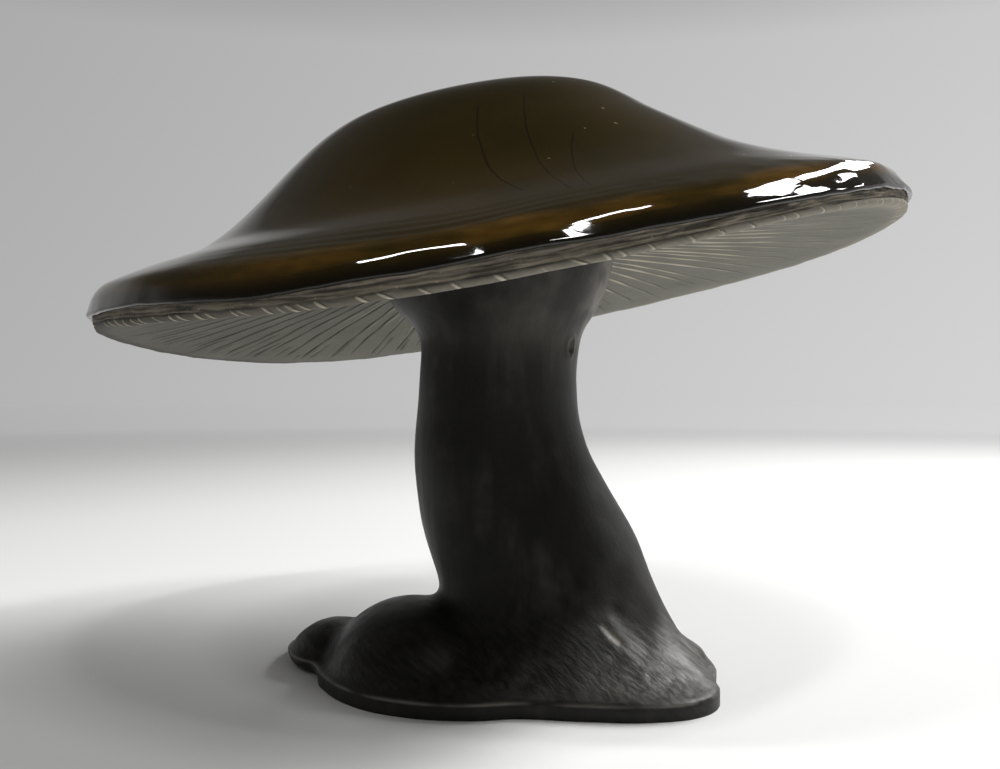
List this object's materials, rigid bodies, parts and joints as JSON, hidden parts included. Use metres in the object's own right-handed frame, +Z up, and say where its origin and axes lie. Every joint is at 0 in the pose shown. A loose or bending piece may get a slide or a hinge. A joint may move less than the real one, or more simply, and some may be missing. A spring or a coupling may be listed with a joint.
{
  "type": "ceramic mushroom ornament",
  "caption": "Hand-built ceramic mushroom ornament: glossy glazed cap with a gilled underside, tilted on a leaning hollow stem that stands on a thin foot slab with root lumps.",
  "frame": {"origin": "on the foot slab's flat underside, straight below the middle of the stem's collar", "axes": "+Z up, +X along the cap's long side towards the end that is lifted, -Y towards the front"},
  "size_m": [0.2805, 0.263, 0.2052],
  "materials": {
    "glaze": "glossy dark amber-brown glaze, lighter where it runs thin",
    "bare_clay": "matte bare fired clay, grey-brown",
    "dark_clay": "satin, near-black fired clay with rubbed lighter patches"
  },
  "bodies": {
    "root": {"glaze_coat": "glaze", "cap_shell": "bare_clay", "gill_plate": "bare_clay", "stem": "dark_clay", "base_slab": "dark_clay", "left_root_mound": "dark_clay", "left_root_lobe": "dark_clay", "right_root_lobe": "dark_clay"}
  },
  "joints": []
}
